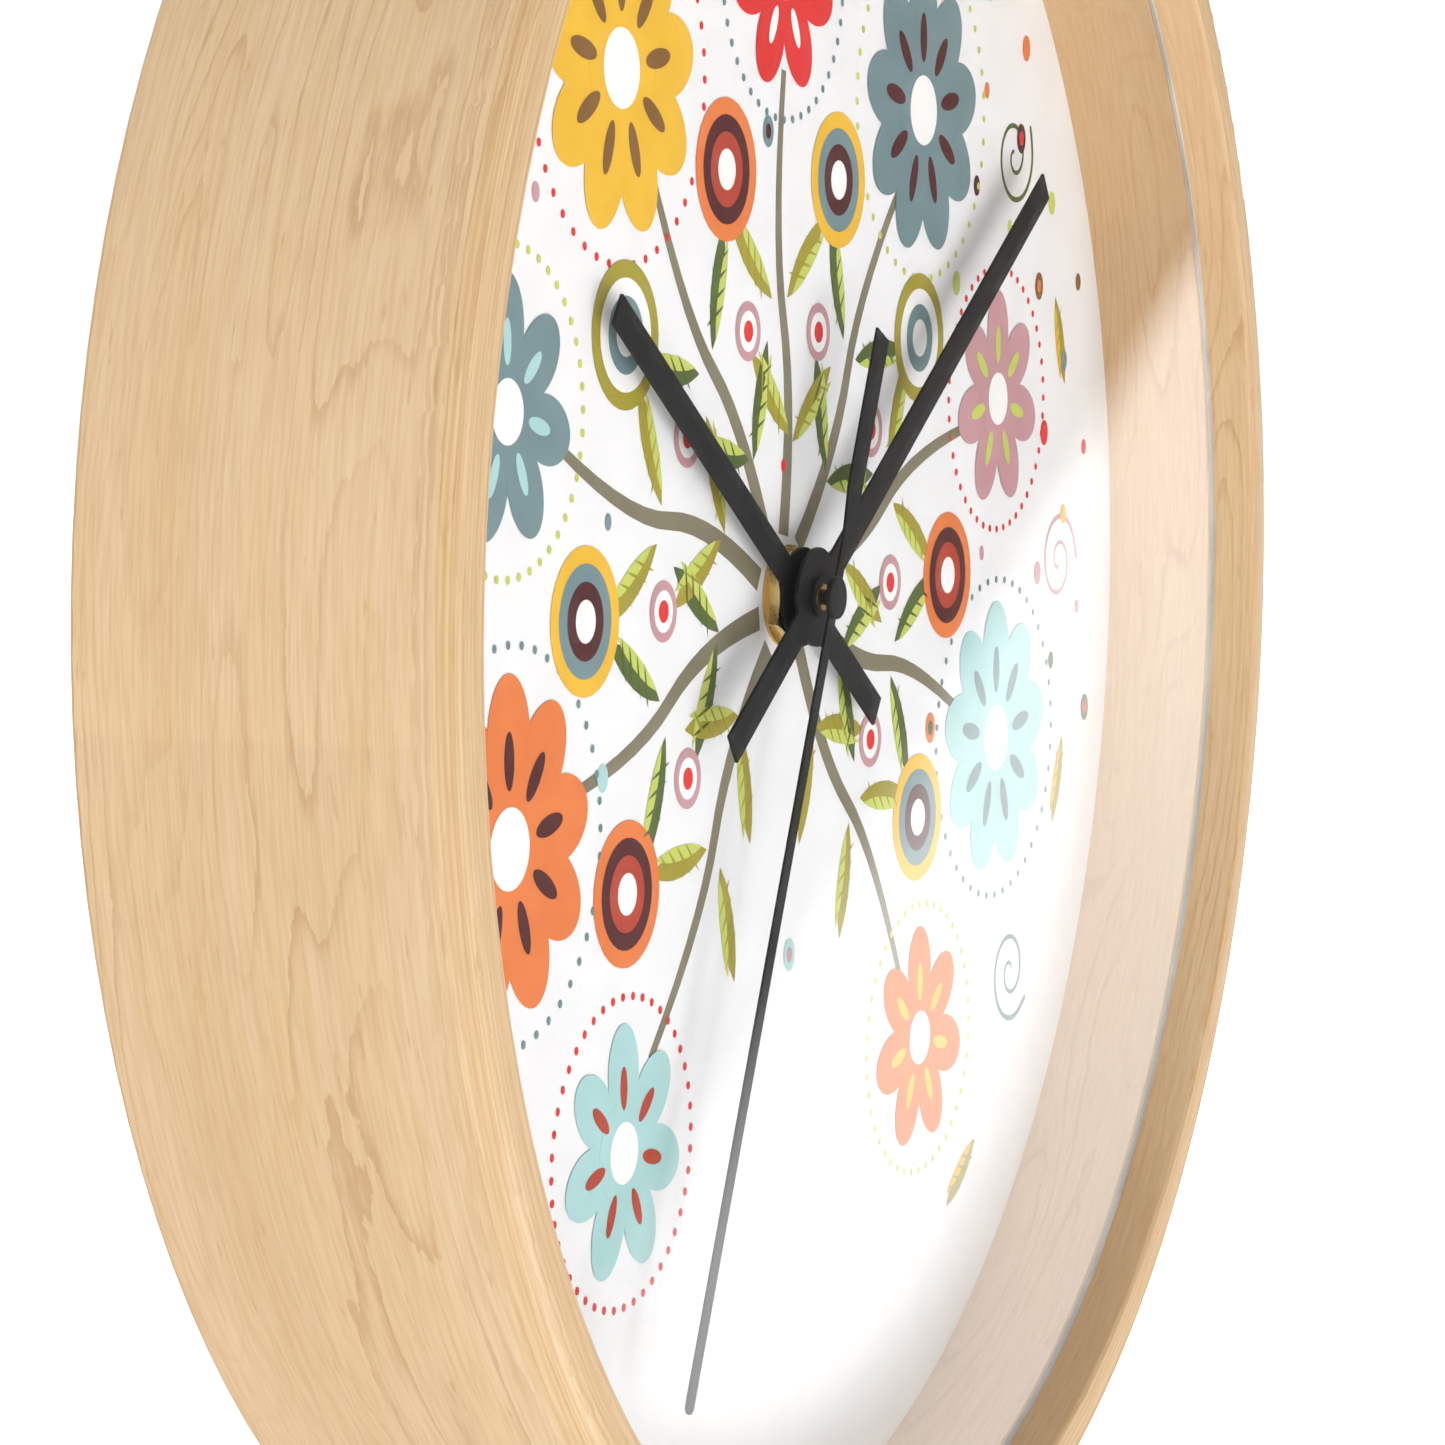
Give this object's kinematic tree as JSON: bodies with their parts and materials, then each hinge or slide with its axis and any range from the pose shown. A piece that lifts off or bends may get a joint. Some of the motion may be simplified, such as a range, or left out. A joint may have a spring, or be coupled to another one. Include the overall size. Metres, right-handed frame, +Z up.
{
  "type": "wall clock",
  "caption": "Round wall clock with a deep bent-wood ring frame, a recessed clear lens, a printed dial, three straight hands and a battery quartz movement with its gear train.",
  "frame": {"origin": "centre of the ring's back face, in the wall plane", "axes": "+Z up to 12 o'clock, +X to 3 o'clock, -Y out of the dial towards the room; +Y points into the wall"},
  "size_m": [0.254, 0.042, 0.254],
  "materials": {
    "maple": "satin",
    "clear_acrylic": "gloss",
    "printed_paper": "matte",
    "hardboard": "matte",
    "zinc_steel": "satin",
    "bright_steel": "polished",
    "black_plastic": "matte",
    "white_plastic": "satin",
    "knob_plastic": "satin",
    "brass": "satin",
    "black_rubber": "matte",
    "cell_jacket": "gloss",
    "nickel_strip": "satin",
    "circuit_laminate": "satin",
    "chip_epoxy": "gloss",
    "motor_steel": "satin",
    "copper_wire": "gloss",
    "magnet_grey": "satin",
    "black_aluminium": "satin"
  },
  "bodies": {
    "clock_case": {"frame_ring": "maple", "spacer_liner": "maple", "lens": "clear_acrylic", "dial_sheet": "printed_paper", "backing_board": "hardboard", "retaining_points": "zinc_steel", "hanger_bracket": "zinc_steel", "hanger_rivets": "zinc_steel", "movement_case": "black_plastic", "movement_cover": "black_plastic", "gear_bridge": "white_plastic", "cover_screws": "zinc_steel", "centre_bush": "brass", "mounting_nut": "brass", "nut_washer": "brass", "rubber_gasket": "black_rubber", "battery_cell": "cell_jacket", "contact_positive": "nickel_strip", "contact_negative": "nickel_strip", "circuit_board": "circuit_laminate", "driver_chip": "chip_epoxy", "quartz_crystal": "nickel_strip", "stator_plate": "motor_steel", "coil_core": "motor_steel", "coil_screws": "zinc_steel", "coil_bobbin": "white_plastic", "coil_winding": "copper_wire"},
    "rotor": {"rotor_arbor": "white_plastic", "rotor_magnet": "magnet_grey"},
    "intermediate": {"intermediate_wheel": "white_plastic"},
    "seconds": {"second_wheel": "white_plastic", "second_arbor": "bright_steel", "second_hand": "black_aluminium", "second_hand_cap": "black_aluminium"},
    "third": {"third_wheel": "white_plastic"},
    "centre": {"centre_wheel": "white_plastic"},
    "minutes": {"minute_arbor": "brass", "clutch_collar": "brass", "clutch_spring": "bright_steel", "minute_hand": "black_aluminium"},
    "motion_work": {"motion_wheel": "white_plastic"},
    "hours": {"hour_wheel": "white_plastic", "hour_hand": "black_aluminium"},
    "setting": {"setting_knob": "knob_plastic", "setting_pinion": "white_plastic"}
  },
  "joints": [
    {"name": "second_turn", "type": "hinge", "parent": "clock_case", "child": "seconds", "pos_m": [0, -0.012, 0], "axis": [0, 1, 0], "continuous": true},
    {"name": "intermediate_turn", "type": "hinge", "parent": "clock_case", "child": "intermediate", "pos_m": [0.00737, -0.012, 0.00516], "axis": [0, 1, 0], "continuous": true},
    {"name": "rotor_turn", "type": "hinge", "parent": "clock_case", "child": "rotor", "pos_m": [0.01427, -0.012, 0.00638], "axis": [0, 1, 0], "continuous": true},
    {"name": "third_turn", "type": "hinge", "parent": "clock_case", "child": "third", "pos_m": [-0.00636, -0.012, 0.00636], "axis": [0, 1, 0], "continuous": true},
    {"name": "centre_turn", "type": "hinge", "parent": "clock_case", "child": "centre", "pos_m": [0, -0.012, 0], "axis": [0, 1, 0], "continuous": true},
    {"name": "minute_turn", "type": "hinge", "parent": "clock_case", "child": "minutes", "pos_m": [0, -0.012, 0], "axis": [0, 1, 0], "continuous": true},
    {"name": "motion_turn", "type": "hinge", "parent": "clock_case", "child": "motion_work", "pos_m": [0.0042, -0.012, 0.00727], "axis": [0, 1, 0], "continuous": true},
    {"name": "hour_turn", "type": "hinge", "parent": "clock_case", "child": "hours", "pos_m": [0, -0.012, 0], "axis": [0, 1, 0], "continuous": true},
    {"name": "setting_turn", "type": "hinge", "parent": "clock_case", "child": "setting", "pos_m": [0.01027, -0.012, 0.01451], "axis": [0, 1, 0], "continuous": true}
  ],
  "couplings": [
    {"joint": "intermediate_turn", "follows": "second_turn", "ratio": -5},
    {"joint": "rotor_turn", "follows": "second_turn", "ratio": 30},
    {"joint": "third_turn", "follows": "second_turn", "ratio": -0.13333},
    {"joint": "centre_turn", "follows": "second_turn", "ratio": 0.016667},
    {"joint": "motion_turn", "follows": "minute_turn", "ratio": -0.33333},
    {"joint": "hour_turn", "follows": "minute_turn", "ratio": 0.083333},
    {"joint": "setting_turn", "follows": "minute_turn", "ratio": 0.66667}
  ]
}
